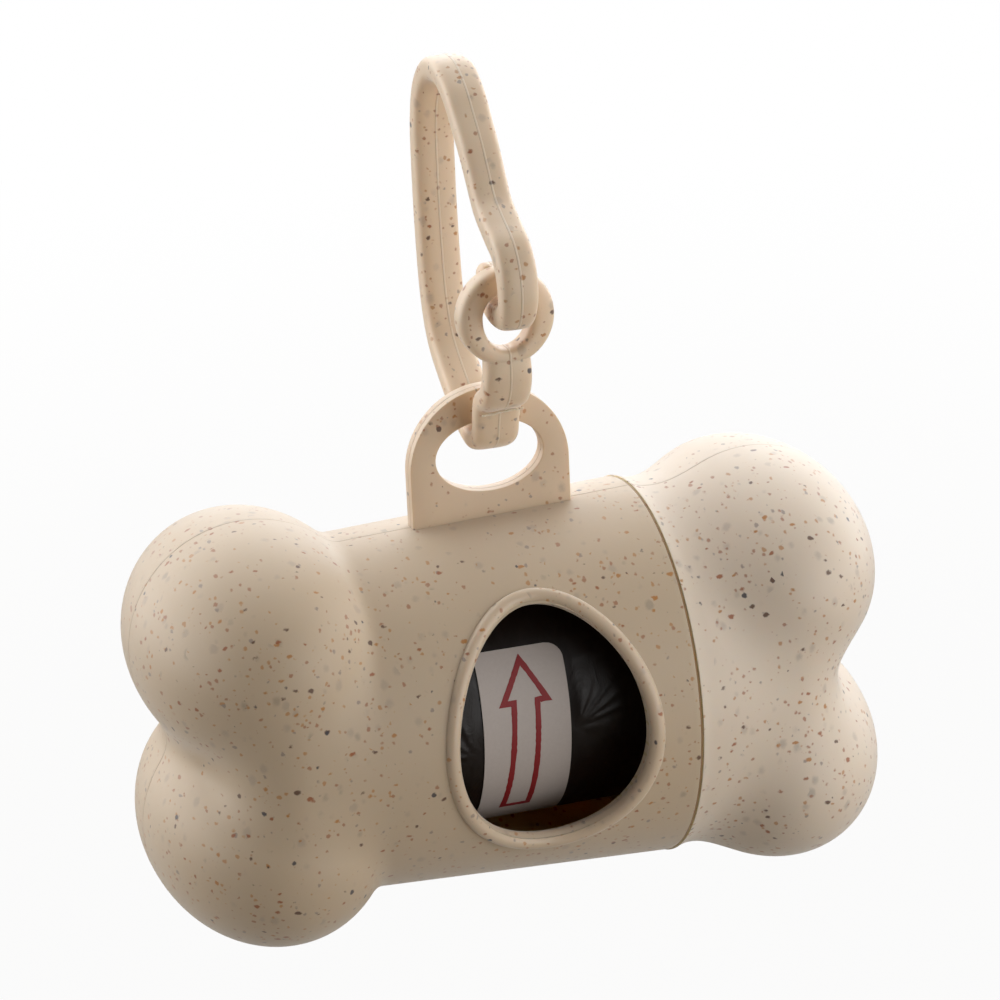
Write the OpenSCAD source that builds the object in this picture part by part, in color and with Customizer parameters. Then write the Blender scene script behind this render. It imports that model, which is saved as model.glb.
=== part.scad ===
// Bone-shaped dispenser for a roll of dog waste bags: a hollow bone whose right end is a
// bayonet cap, with the roll on two pegs inside and a moulded strap clip through its tab.

/* [Body] */
// Outer radius of the shaft at the seam
seam_r = 19.5; // [18.5:0.5:22]
// Outer radius of the shaft where it meets the closed end's lobes
shaft_end_r = 17.7; // [17.2:0.1:18.2]
// From the seam to the centres of the closed end's lobes
lobe_from_seam = 41; // [39:0.5:46]
// Radius of the closed end's lobes, seen from the front
lobe_r = 12.05; // [11.5:0.05:13]
// Half the depth of the closed end's lobes, front to back
lobe_half_w = 16.6; // [15.5:0.1:18]
// Height of those lobes' centres above and below the bone's axis
lobe_rise = 10.3; // [9.5:0.1:11]
// Width of the soft crease between those lobes and the shaft
lobe_blend = 2.2; // [1:0.1:3]
// Width of the soft valley between a pair of lobes
notch_blend = 3.1; // [2:0.1:4]
// Extra softness of the closed end's crease with the shaft, between its lobes
valley_blend = 4; // [2:0.5:6]
// Half the height and depth over which that softness fades
valley_half = 7.5; // [6:0.5:9]
// From the lobes' centres to the flat of the closed end between them
end_flat = 4.4; // [4:0.1:5.4]
// Rounding where the shaft's ends turn in
end_round = 5; // [4:0.5:6]
// Wall of the mouldings
wall = 1.6; // [1.2:0.1:1.9]

/* [End cap] */
// From the seam to the centres of the cap's lobes
cap_lobe_from_seam = 12.95; // [12.5:0.05:15]
// Radius of the cap's lobes, seen from the front
cap_lobe_r = 11.75; // [11.3:0.05:12.5]
// Half the depth of the cap's lobes, front to back
cap_lobe_half_w = 18.4; // [17:0.1:19]
// Height of the cap's lobes' centres above and below the bone's axis
cap_lobe_rise = 10.1; // [9.5:0.1:10.8]
// Radius of the shaft's run inside the cap, at the cap's lobes
cap_waist_r = 17; // [16.8:0.1:18]
// Width of the soft crease between the cap's lobes and the shaft
cap_blend = 3.2; // [2:0.1:4]
// From the cap's lobes' centres to the flat between them
cap_end_flat = 3.65; // [3.2:0.05:5]
// Gap between the body and the cap at the seam
seam_gap = 0.25; // [0.2:0.05:0.4]
// How far the cap's rim stands proud of the shaft
rim_proud = 0.15; // [0:0.05:0.2]

/* [Neck and bayonet] */
// Outer radius of the neck that the cap slips over
neck_r = 16.2; // [15.8:0.1:16.3]
// Wall of the neck
neck_wall = 1.3; // [1.1:0.1:1.5]
// How far the neck stands out of the seam
neck_len = 6.4; // [6:0.1:6.8]
// Radial clearance of the neck in the cap
neck_clear = 0.09; // [0.05:0.01:0.1]
// Number of bayonet lugs round the neck
lug_count = 3; // [2:1:3]
// Radial height of a lug
lug_h = 0.8; // [0.5:0.1:0.9]
// Length of a lug along the neck
lug_len = 1.6; // [1.2:0.1:2]
// Angle that a lug spans
lug_angle = 22; // [16:1:26]
// Turn that frees the cap
bayonet_turn = 60; // [45:5:60]
// Clearance of a lug in its track
lug_clear = 0.25; // [0.2:0.05:0.4]
// Broken edge that leads the neck and the pegs into place
lead_in = 0.4; // [0.2:0.05:0.5]

/* [Window] */
// From the seam to the window's centre
window_from_seam = 14.85; // [14:0.05:17]
// Half the width of the window
window_half_w = 9.75; // [8:0.25:10]
// Height of the window above its centre
window_up = 12.3; // [10:0.1:12.6]
// Depth of the window below its centre
window_down = 11.8; // [10:0.1:12]
// Height of the window's centre above the bone's axis
window_rise = 1.2; // [0:0.1:1.6]
// How much narrower the window's top is than its foot
window_egg = 0.05; // [0:0.01:0.1]
// Width of the raised rim round the window
bead_w = 1.35; // [1:0.05:1.5]
// How far the rim stands out of the shaft
bead_h = 0.55; // [0.3:0.05:0.8]

/* [Tab] */
// From the seam to the middle of the tab and the strap
tab_from_seam = 14.85; // [14:0.05:17]
// Width of the tab along the bone
tab_w = 16.7; // [16:0.1:19]
// Thickness of the tab
tab_t = 2; // [1.6:0.1:2.2]
// Height of the tab above the shaft at the seam
tab_rise = 12.85; // [12.5:0.05:14]
// Width of the hole in the tab
hole_w = 11.3; // [10:0.1:12]
// Height of the hole in the tab
hole_h = 7.5; // [7:0.1:7.8]
// Height of the bar above the hole, which the strap hangs on
bar_h = 3.4; // [3:0.1:3.6]

/* [Roll] */
// Radius of the wound bags
roll_r = 13.1; // [11:0.1:13.4]
// Outer radius of the card tube that the bags are wound on
core_r = 4.8; // [4:0.1:6]
// Wall of the card tube
core_wall = 0.8; // [0.5:0.1:1]
// Radial clearance of the pegs in the card tube
peg_clear = 0.08; // [0.05:0.01:0.1]
// How far each peg reaches into the card tube
peg_grip = 9; // [6:0.5:12]
// Gap between the roll's left end and the closed end's wall
roll_end_gap = 0.6; // [0.4:0.1:0.8]
// Gap between the roll's right end and the cap's wall
roll_cap_gap = 1; // [0.6:0.1:1.6]
// Width of the paper band round the roll
band_w = 9.1; // [6:0.1:12]
// From the seam to the middle of the paper band
band_from_seam = 16; // [10:0.5:24]
// Thickness of the paper band
band_t = 0.12; // [0.1:0.01:0.15]
// Angle of the band's upper edge above the bone's front
band_top = 38; // [20:1:60]
// Angle that the band wraps
band_angle = 170; // [120:5:300]

/* [Strap] */
// Outer radius of the ring that the hook clips into
ring_r = 4.9; // [4.7:0.05:5.2]
// Radius of the ring's hole
ring_hole_r = 2.4; // [2.3:0.05:2.6]
// How far the ring's hole is drawn out downwards
ring_hole_drop = 0.8; // [0.5:0.1:1]
// Thickness of the ring
ring_t = 2.9; // [2.5:0.1:3]
// Broken edge of the ring and its hole
ring_chamfer = 0.5; // [0.3:0.05:0.6]
// Width of the strap as a share of the widths in its route
strap_w_share = 1; // [0.9:0.01:1.04]
// Thickness of the strap as a share of the thicknesses in its route
strap_t_share = 1; // [0.9:0.01:1.03]

/* [Hidden] */

shell_col = "#d9cbb3";
film_col = "#141312";
core_col = "#b79d78";
paper_col = "#e9e6e2";

fine = 96;
eps = 0.01;
// how far the dome's rim lies inside the shaft that it joins
lap = 0.05;

// bone axis along X through the origin, seam at x = 0, closed end towards -X
lobe_x = -lobe_from_seam;
end_x = lobe_x - end_flat;
cap_end_x = cap_lobe_from_seam + cap_end_flat;
rim_r = seam_r + rim_proud;

// tab and strap: the bar's middle is the axis that the body swings on
tab_x = -tab_from_seam;
tab_top = seam_r + tab_rise;
tab_arc_z = tab_top - tab_w / 2;
hole_z = tab_top - bar_h - hole_h / 2;
bar_z = tab_top - bar_h / 2;

// The strap's middle line, from the ring down through the tab, up the back, over the top and
// down to the hook that goes through the ring. Each row is y and z from the bar's middle,
// then the strap's width and thickness there.
strap_route = [
    [-8, 7, 4.6, 2.8], [-8, 4.8, 4.8, 2.8], [-6.8, 2.7, 4.9, 2.6], [-4.5, 1.3, 4.8, 2.4],
    [-3.6, -0.6, 4.7, 2.3], [-3, -2.5, 4.6, 2.2], [-0.9, -3.6, 4.5, 2.2], [1.8, -3.2, 4.4, 2.3],
    [4.8, -1.5, 4.4, 2.7], [8.9, 1.2, 4.3, 2.9], [11.3, 3.4, 4.3, 3], [12.7, 6.2, 4.3, 3],
    [13.5, 10, 4.3, 3], [13.9, 16, 4.3, 3], [13.9, 21, 4.3, 3], [13.6, 25.5, 4.3, 2.9],
    [12.2, 29.4, 4.3, 2.7], [9.2, 32, 4.3, 2.6], [5.4, 32.4, 4.2, 2.6], [2.3, 30.9, 4.1, 2.6],
    [0, 28.6, 4, 2.7], [-2.2, 26.2, 3.9, 2.8], [-4.1, 23.6, 3.8, 2.8], [-5.9, 21.4, 3.8, 2.8],
    [-8.6, 19.7, 3.8, 2.9], [-11.1, 18.3, 3.8, 2.9], [-12.5, 16.2, 3.8, 2.9],
    [-12.6, 13.8, 3.7, 2.8], [-11.5, 12, 3.5, 2.7], [-9, 11.4, 3.3, 2.5], [-6.6, 11.7, 3.2, 2.4],
    [-5, 13.1, 3.2, 2.3], [-4.7, 14.8, 3, 2.2], [-4.7, 15.4, 2, 1.4]
];
ring_y = -8;
ring_z = 11.1;
// where a lead passes through the strap, from the bar's middle: the part's origin
loop_y = 7.3;
loop_z = 31;

// neck, bayonet and pegs
socket_r = neck_r + neck_clear;
neck_bore = neck_r - neck_wall;
lug_end = neck_len - 0.6;
lug_start = lug_end - lug_len;
track_r = neck_r + lug_h + lug_clear;
track_slack = 1.5;
track_angle = lug_angle + bayonet_turn + 2 * track_slack;
slot_angle = lug_angle + 2 * track_slack;
peg_r = core_r - core_wall - peg_clear;
roll_x = end_x + wall + roll_end_gap;
roll_len = cap_end_x - wall - roll_cap_gap - roll_x;

// polynomial smooth union of two distances
function blend(a, b, k) = min(a, b) - pow(max(k - abs(a - b), 0), 2) / (4 * k);

// distance to an ellipsoid, near its surface
function ellipsoid(p, r) =
    let (a = [for (i = [0:2]) p[i] / r[i]], b = [for (i = [0:2]) a[i] / r[i]], n = norm(a))
    n * (n - 1) / max(norm(b), eps);

// outer radius of the shaft, which tapers both ways from the seam
function shaft_r(x) = x < 0 ? seam_r + (shaft_end_r - seam_r) * x / lobe_x
                            : seam_r + (cap_waist_r - seam_r) * x / cap_lobe_from_seam;

function shaft(p) =
    let (rad = norm([p[1], p[2]]) - shaft_r(p[0]) + end_round,
         along = max(end_x - p[0], p[0] - cap_end_x) + end_round)
    min(max(rad, along), 0) + norm([max(rad, 0), max(along, 0)]) - end_round;

function lobes(p, x, rise, r, half_w) =
    blend(ellipsoid(p - [x, 0, rise], [r, half_w, r]),
          ellipsoid(p + [-x, 0, rise], [r, half_w, r]), notch_blend);

// distance to the whole bone
function bone(p) =
    let (soft = valley_blend * exp(-pow(p[2] / valley_half, 2))
                * (1 - exp(-pow(p[1] / valley_half, 2))))
    blend(blend(shaft(p), lobes(p, lobe_x, lobe_rise, lobe_r, lobe_half_w), lobe_blend + soft),
          lobes(p, cap_lobe_from_seam, cap_lobe_rise, cap_lobe_r, cap_lobe_half_w), cap_blend);

// how far the bone's skin lies from c in the direction d
function reach(c, d, lo = 4, hi = 45, n = 20) =
    n == 0 ? (lo + hi) / 2 :
    let (m = (lo + hi) / 2) bone(c + m * d) < 0 ? reach(c, d, m, hi, n - 1)
                                                : reach(c, d, lo, m, n - 1);

// One end of the bone as a closed solid, drawn by rays from a point cx on its axis inside both
// lobes: side is -1 for the closed end and 1 for the cap, and it ends flat at x1, with radius r1.
module dome(cx, side, x1, r1, rings, seg) {
    c = [cx, 0, 0];
    rim_u = atan2(r1, side * (x1 - cx));
    pole = [cx + side * reach(c, [side, 0, 0]), 0, 0];
    skin = [
        for (i = [1:rings]) for (j = [0:seg - 1])
            let (u = rim_u * i / rings, v = 360 * j / seg,
                 d = [side * cos(u), sin(u) * sin(v), sin(u) * cos(v)])
            i == rings ? [x1, r1 * sin(v), r1 * cos(v)] : c + reach(c, d) * d
    ];
    function id(i, j) = 1 + (i - 1) * seg + j % seg;
    faces = concat(
        [for (j = [0:seg - 1]) [0, id(1, j), id(1, j + 1)]],
        [for (i = [1:rings - 1]) for (j = [0:seg - 1]) each [
            [id(i, j), id(i + 1, j), id(i + 1, j + 1)], [id(i, j), id(i + 1, j + 1), id(i, j + 1)]]],
        [[for (j = [seg - 1:-1:0]) id(rings, j)]]);
    polyhedron(concat([pole], skin),
               side < 0 ? [for (f = faces) [for (k = [len(f) - 1:-1:0]) f[k]]] : faces);
}

// a revolve about the bone's axis: the outline's points are [x, radius]
module turned(outline) {
    rotate([0, 90, 0]) rotate([0, 0, 90]) rotate_extrude($fn = fine)
        polygon([for (p = outline) [p[1], p[0]]]);
}

module along_x(x1, x2, r1, r2) {
    translate([x1, 0, 0]) rotate([0, 90, 0]) cylinder(h = x2 - x1, r1 = r1, r2 = r2, $fn = fine);
}

// the hollow of a pair of lobes, a wall inside their skin
module lobe_hollows(x, rise, r, half_w) {
    for (side = [-1, 1]) translate([x, 0, side * rise]) rotate([90, 0, 0])
        rotate_extrude($fn = fine)
            polygon([for (a = [-90:10:90]) [(r - wall) * cos(a), (half_w - wall) * sin(a)]]);
}

// the window's outline, seen from the front
function egg(grow) = [
    for (a = [0:8:352]) [
        (window_half_w + grow) * cos(a) * (1 - window_egg * sin(a)),
        ((sin(a) > 0 ? window_up : window_down) + grow) * sin(a)
    ]
];

module window_prism(grow) {
    translate([-window_from_seam, 0, window_rise]) rotate([90, 0, 0])
        linear_extrude(2 * seam_r) polygon(egg(grow));
}

module window_bead() {
    intersection() {
        difference() {
            window_prism(bead_w);
            window_prism(0);
        }
        difference() {
            along_x(shaft_from, 0, shaft_r(shaft_from) + bead_h, seam_r + bead_h);
            along_x(shaft_from - 1, 1, shaft_r(shaft_from) - wall / 2, seam_r - wall / 2);
        }
    }
}

module tab() {
    translate([tab_x, tab_t / 2, 0]) rotate([90, 0, 0]) linear_extrude(tab_t) difference() {
        union() {
            translate([0, tab_arc_z]) circle(d = tab_w, $fn = fine);
            translate([-tab_w / 2, shaft_end_r - wall / 4])
                square([tab_w, tab_arc_z - shaft_end_r + wall / 4]);
        }
        translate([0, hole_z])
            polygon([for (a = [0:9:351]) [hole_w / 2 * cos(a), hole_h / 2 * sin(a)]]);
    }
}

// where the closed end's dome hands over to the plain tapered shaft
shaft_from = lobe_x + lobe_r + 1;

// the chamber's outline: closed end, tapered shaft, shoulder and the neck's bore
function chamber_outline() =
    let (r = shaft_end_r - end_round, cx = end_x + end_round, round_in = end_round - wall)
    concat([[end_x + wall, 0]],
           [for (a = [0:15:90]) [cx - round_in * cos(a), r + round_in * sin(a)]],
           [[-wall, shaft_r(-wall) - wall], [-wall, neck_bore], [neck_len + 1, neck_bore],
            [neck_len + 1, 0]]);

module lug_ring(r_in, r_out, x1, x2, angle, start) {
    for (i = [0:lug_count - 1])
        translate([x1, 0, 0]) rotate([start + 360 * i / lug_count, 0, 0]) rotate([0, 90, 0])
            rotate_extrude(angle = angle, $fn = fine)
                translate([r_in, 0]) square([r_out - r_in, x2 - x1]);
}

// the body: closed end, shaft, neck with lugs, tab, window rim and the fixed peg
module housing() {
    color(shell_col) placed() {
        difference() {
            union() {
                dome(lobe_x + 3, -1, shaft_from, shaft_r(shaft_from) - lap, 26, 48);
                along_x(shaft_from, 0, shaft_r(shaft_from), seam_r);
                along_x(-wall, neck_len - lead_in, neck_r, neck_r);
                along_x(neck_len - lead_in, neck_len, neck_r, neck_r - lead_in);
                tab();
            }
            turned(chamber_outline());
            lobe_hollows(lobe_x, lobe_rise, lobe_r, lobe_half_w);
            window_prism(0);
        }
        window_bead();
        lug_ring(neck_r - neck_wall / 2, neck_r + lug_h, lug_start, lug_end, lug_angle, 0);
        along_x(end_x + wall / 2, roll_x + peg_grip - lead_in, peg_r, peg_r);
        along_x(roll_x + peg_grip - lead_in, roll_x + peg_grip, peg_r, peg_r - lead_in);
    }
}

// the chamber's run inside the cap
function cap_outline() =
    let (r = cap_waist_r - end_round, cx = cap_end_x - end_round, round_in = end_round - wall)
    concat([[0, 0], [0, socket_r], [neck_len + 0.5, socket_r],
            [neck_len + 0.5, r + round_in]],
           [for (a = [90:-15:0]) [cx + round_in * cos(a), r + round_in * sin(a)]],
           [[cap_end_x - wall, 0]]);

// the bayonet cap, with the tracks for the lugs and the peg that closes the roll's tube
module end_cap() {
    color(shell_col) placed() {
        difference() {
            dome(cap_lobe_from_seam - 3, 1, seam_gap, rim_r, 24, 48);
            turned(cap_outline());
            lobe_hollows(cap_lobe_from_seam, cap_lobe_rise, cap_lobe_r, cap_lobe_half_w);
            lug_ring(neck_r - 1, track_r, lug_start - lug_clear, lug_end + lug_clear,
                     track_angle, -track_slack - bayonet_turn);
            lug_ring(neck_r - 1, track_r, 0, lug_end, slot_angle, -track_slack - bayonet_turn);
        }
        translate([roll_x + roll_len - peg_grip, 0, 0]) {
            along_x(0, lead_in, peg_r - lead_in, peg_r);
            along_x(lead_in, cap_end_x - wall / 2 - roll_x - roll_len + peg_grip, peg_r, peg_r);
        }
    }
}

module tube(x1, x2, r_in, r_out) {
    difference() {
        along_x(x1, x2, r_out, r_out);
        along_x(x1 - 1, x2 + 1, r_in, r_in);
    }
}

module bag_roll() {
    color(film_col) placed() tube(roll_x, roll_x + roll_len, core_r, roll_r);
}

module roll_core() {
    color(core_col) placed() tube(roll_x, roll_x + roll_len, core_r - core_wall, core_r);
}

// paper band stuck round the roll's front and underside
module paper_band() {
    color(paper_col) placed()
        translate([-band_from_seam - band_w / 2, 0, 0]) rotate([90 - band_top, 0, 0])
            rotate([0, 90, 0]) rotate([0, 0, 180]) rotate_extrude(angle = band_angle, $fn = fine)
                translate([roll_r, 0]) square([band_t, band_w]);
}

// Catmull-Rom curve through a list of rows, at t from 0 to len - 1
function row(list, i) = list[max(0, min(len(list) - 1, i))];
function curve(list, t) =
    let (i = min(floor(t), len(list) - 2), f = t - i,
         a = row(list, i - 1), b = row(list, i), c = row(list, i + 1), d = row(list, i + 2))
    (2 * b + (c - a) * f + (2 * a - 5 * b + 4 * c - d) * f * f
     + (3 * b - a - 3 * c + d) * f * f * f) / 2;

// a rounded oblong of half sizes 1
function pad(a) = [sign(cos(a)) * pow(abs(cos(a)), 0.55), sign(sin(a)) * pow(abs(sin(a)), 0.55)];

// the strap's sweep: rings of an oblong square to the route, closed by a flat face at each end
module strap_sweep(steps = 2, seg = 16) {
    rings = (len(strap_route) - 1) * steps;
    points = [
        for (i = [0:rings])
            let (p = curve(strap_route, i / steps),
                 d = curve(strap_route, min((i + 0.5) / steps, len(strap_route) - 1))
                   - curve(strap_route, max((i - 0.5) / steps, 0)),
                 n = [d[1], -d[0]] / norm([d[0], d[1]]))
            for (j = [0:seg - 1])
                let (q = pad(360 * (j + 0.5) / seg),
                     side = p[2] / 2 * strap_w_share * q[0],
                     out = p[3] / 2 * strap_t_share * q[1])
                [side, p[0] + out * n[0], p[1] + out * n[1]]
    ];
    function id(i, j) = i * seg + j % seg;
    polyhedron(points, concat(
        [for (i = [0:rings - 1]) for (j = [0:seg - 1]) each [
            [id(i, j), id(i + 1, j), id(i + 1, j + 1)], [id(i, j), id(i + 1, j + 1), id(i, j + 1)]]],
        [[for (j = [0:seg - 1]) id(0, j)], [for (j = [seg - 1:-1:0]) id(rings, j)]]));
}

// a disc with both edges broken
module disc(r, t, c) {
    rotate_extrude($fn = fine)
        polygon([[0, 0], [r - c, 0], [r, c], [r, t - c], [r - c, t], [0, t]]);
}

// the moulded strap: loop, hook and the ring that the hook clips into
module strap_clip() {
    color(shell_col) placed() translate([tab_x, 0, bar_z]) {
        strap_sweep();
        translate([0, ring_y + ring_t / 2, ring_z]) rotate([90, 0, 0]) difference() {
            disc(ring_r, ring_t, ring_chamfer);
            hull() for (drop = [0, ring_hole_drop])
                translate([0, -drop, -1]) cylinder(h = ring_t + 2, r = ring_hole_r, $fn = fine);
            for (end = [0, 1]) hull() for (drop = [0, ring_hole_drop])
                translate([0, -drop, end * ring_t]) mirror([0, 0, end])
                    cylinder(h = ring_chamfer, r1 = ring_hole_r + ring_chamfer,
                             r2 = ring_hole_r, $fn = fine);
        }
    }
}

// the origin is where a lead passes through the top of the strap
module placed() {
    translate([-tab_x, -loop_y, -bar_z - loop_z]) children();
}

housing();
end_cap();
bag_roll();
roll_core();
paper_band();
strap_clip();
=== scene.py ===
import math

import bmesh
import bpy
import numpy as np
from mathutils import Matrix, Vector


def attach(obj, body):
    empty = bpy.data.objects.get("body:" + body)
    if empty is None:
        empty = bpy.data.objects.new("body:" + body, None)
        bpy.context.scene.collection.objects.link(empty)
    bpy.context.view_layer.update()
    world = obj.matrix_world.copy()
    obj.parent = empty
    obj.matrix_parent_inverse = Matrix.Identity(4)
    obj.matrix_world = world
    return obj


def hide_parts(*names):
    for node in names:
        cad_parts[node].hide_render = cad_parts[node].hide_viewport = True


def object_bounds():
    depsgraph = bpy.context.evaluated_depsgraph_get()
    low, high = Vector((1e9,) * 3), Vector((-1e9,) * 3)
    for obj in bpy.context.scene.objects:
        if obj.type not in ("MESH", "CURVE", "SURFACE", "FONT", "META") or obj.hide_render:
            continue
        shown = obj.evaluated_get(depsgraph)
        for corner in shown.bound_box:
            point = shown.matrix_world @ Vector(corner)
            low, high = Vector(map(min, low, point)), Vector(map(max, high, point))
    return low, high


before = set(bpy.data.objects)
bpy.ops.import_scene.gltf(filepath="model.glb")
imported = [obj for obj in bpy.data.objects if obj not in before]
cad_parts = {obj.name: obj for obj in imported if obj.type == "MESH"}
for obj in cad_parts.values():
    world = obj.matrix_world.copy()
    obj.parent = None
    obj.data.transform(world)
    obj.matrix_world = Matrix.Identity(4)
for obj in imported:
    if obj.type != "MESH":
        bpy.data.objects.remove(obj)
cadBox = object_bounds()
print("frame loaded:", sorted(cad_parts))

mm = 0.001
# the bone's axis at the seam, in mm from the lead loop
boneOrigin = np.array([14.85, -7.3, -61.65])


# camera, floor, sky and lamps, in metres
studio = {
    "cameraPlace": (-0.10987, -0.36816, 0.09122),
    "cameraRight": (0.950159, -0.308609, -0.044241),
    "cameraUp": (0.142391, 0.303331, 0.942186),
    "lens": 142.935, "sensor": 36, "clip": (0.01, 20),
    "floorDrop": 0.045,       # the part hangs by its loop, this far above the floor
    "floorRadius": 1.1,
    "floorTint": (0.24, 0.215, 0.18, 1),  # what the floor throws back up at the part
    "whiteFrom": 0.16,        # the camera sees the floor's shadow up to here
    "whiteTo": 0.5,           # and plain white from here on
    "whiteNear": 0.95,
    "skyOnObject": 0.0,       # the sky is seen and mirrored, and the lamps alone light the part
    "tentFront": 0.12,        # how bright the mirrored tent is where the camera stands
    "tentFade": (-0.7, 0.2),  # from dark to white, along y
    "lampAim": (0.0, -0.007, -0.05),
    "lamps": {                # degrees round from the front, degrees up, away, side, watts
        "frontRight": (36, 6, 0.28, 0.3, 0.6),
        "topRight": (40, 75, 0.35, 0.3, 0.09),
        "lowLeft": (290, -4, 0.35, 0.3, 0.12),
        "right": (90, 8, 0.6, 0.8, 1.1),
        "rightBack": (120, 8, 0.6, 0.8, 2.6),
        "farBack": (150, 8, 0.6, 0.8, 1.1),
        "back": (180, 48, 0.6, 0.8, 3.4),
        "leftBack": (240, 8, 0.6, 0.8, 4.9),
    },
}

# the bone in mm, x along its axis from the seam towards the cap
bone = {
    "seamR": 19.5, "shaftEndR": 17.7, "endX": -45.4, "skinEndX": -44.7, "endRound": 5.0,
    "lobeX": -40.5, "lobeR": 12.35, "lobeHalfW": 18.4, "lobeRise": 9.5,
    "lobeFull": 2.1,          # 2 is a plain ellipsoid, more is fuller towards the front
    "lobeBlend": 0.9,         # width of the crease with the shaft
    "notchBlend": 3.6,        # width of the notch between two lobes
    "capLobeX": 12.95, "capLobeR": 11.75, "capLobeHalfW": 18.4, "capLobeRise": 10.1,
    "capLobeFull": 2.0, "capBlend": 3.2, "capNotchBlend": 3.5,
    "capWaistR": 17.0, "capEndFlat": 3.65,
    "valleyBlend": 4.0, "capValleyBlend": 1.5, "valleyHalf": 7.5,  # softer crease between lobes
    "wall": 1.6, "chamberDepth": 0.9, "seamGap": 0.25, "rimProud": 0.15,
    "neckR": 16.2, "neckWall": 1.3, "neckLen": 6.4, "neckClear": 0.09, "neckEdge": 0.3,
    "around": 288, "edgeRound": 0.08,
}
endX = bone["endX"]
capEndX = bone["capLobeX"] + bone["capEndFlat"]
shaftFrom = bone["lobeX"] + bone["lobeR"] + 1  # the closed end's dome of rays ends here
quarterTurn = np.radians((30, 60, 90))         # steps of a small rounded edge


def addNode(tree, kind, inputs=None, **settings):
    # an input is a value, a socket, or a node that gives its first output
    node = tree.nodes.new(kind)
    for name, value in settings.items():
        setattr(node, name, value)
    for key, value in (inputs or {}).items():
        if isinstance(value, bpy.types.Node):
            value = value.outputs[0]
        if isinstance(value, bpy.types.NodeSocket):
            tree.links.new(value, node.inputs[key])
        else:
            node.inputs[key].default_value = value
    return node


def calc(tree, operation, *values):
    return addNode(tree, "ShaderNodeMath", dict(enumerate(values)), operation=operation)


def remap(tree, value, low, high, toLow=0.0, toHigh=1.0, smooth=False):
    # takes low to toLow and high to toHigh, and holds what lies beyond them
    return addNode(tree, "ShaderNodeMapRange", {
        "Value": value, "From Min": low, "From Max": high, "To Min": toLow, "To Max": toHigh},
        interpolation_type="SMOOTHSTEP" if smooth else "LINEAR")


def fractalNoise(tree, where, grain, detail, **more):
    # fractal noise with grains of that many mm
    return addNode(tree, "ShaderNodeTexNoise", {
        "Vector": where, "Scale": 1 / (grain * mm), "Detail": detail, **more})


def mixTints(tree, share, low, high):
    return addNode(tree, "ShaderNodeMix", {0: share, 6: low, 7: high}, data_type="RGBA").outputs[2]


def srgb(code, alpha=1.0):
    parts = [int(code[i:i + 2], 16) / 255 for i in (1, 3, 5)]
    linear = [c / 12.92 if c <= 0.04045 else ((c + 0.055) / 1.055) ** 2.4 for c in parts]
    return (*linear, alpha)


def toRow(points):
    return (np.asarray(points, float) + boneOrigin) * mm


def meshObject(name, points, faces, smoothAngle=35):
    mesh = bpy.data.meshes.new(name)
    mesh.from_pydata([tuple(p) for p in points], [], [tuple(int(i) for i in f) for f in faces])
    mesh.validate()
    obj = bpy.data.objects.new(name, mesh)
    bpy.context.scene.collection.objects.link(obj)
    shadeByAngle(obj, smoothAngle)
    return obj


def shadeByAngle(obj, angle):
    obj.data.shade_smooth()
    if angle < 180:
        obj.data.set_sharp_from_angle(angle=math.radians(angle))


def plainMesh(obj):
    view = bpy.context.evaluated_depsgraph_get()
    mesh = bpy.data.meshes.new_from_object(obj.evaluated_get(view))
    obj.modifiers.clear()
    obj.data = mesh
    mesh.name = obj.name
    return obj


def outwards(obj):
    work = bmesh.new()
    work.from_mesh(obj.data)
    bmesh.ops.recalc_face_normals(work, faces=work.faces)
    work.to_mesh(obj.data)
    work.free()
    return obj


def setMaterials(obj, *materials):
    obj.data.materials.clear()
    for m in materials:
        obj.data.materials.append(m)
    return obj


def seat(obj, body, slotName, *nodes):
    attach(obj, body)
    if nodes:
        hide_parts(*nodes)
    return obj


# the bone's skin: a distance function of a tapered shaft and two pairs of lobes, softly blended
def blendOf(a, b, k):
    return np.minimum(a, b) - np.maximum(k - np.abs(a - b), 0) ** 2 / (4 * k)


def lobeOf(p, r, halfW, full):
    # round seen along y; a power full above 2 keeps it wide towards the front and back
    rho = np.hypot(p[:, 0], p[:, 2]) / r
    q = np.abs(p[:, 1]) / halfW
    total = np.maximum(rho ** full + q ** full, 1e-6)
    slope = total ** (1 / full - 1) * np.hypot(rho ** (full - 1) / r, q ** (full - 1) / halfW)
    return (total ** (1 / full) - 1) / np.maximum(slope, 0.01)


def shaftRadius(x):
    b = bone
    closed = b["seamR"] + (b["shaftEndR"] - b["seamR"]) * x / b["lobeX"]
    cap = b["seamR"] + (b["capWaistR"] - b["seamR"]) * x / b["capLobeX"]
    return np.where(x < 0, closed, cap)


def shaftOf(p):
    e = bone["endRound"]
    rad = np.hypot(p[:, 1], p[:, 2]) - shaftRadius(p[:, 0]) + e
    along = np.maximum(bone["skinEndX"] - p[:, 0], p[:, 0] - capEndX) + e
    corner = np.hypot(np.maximum(rad, 0), np.maximum(along, 0))
    return np.minimum(np.maximum(rad, along), 0) + corner - e


def lobesOf(p, x, rise, r, halfW, full, notch):
    upper = lobeOf(p - [x, 0, rise], r, halfW, full)
    lower = lobeOf(p - [x, 0, -rise], r, halfW, full)
    return blendOf(upper, lower, notch)


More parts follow.
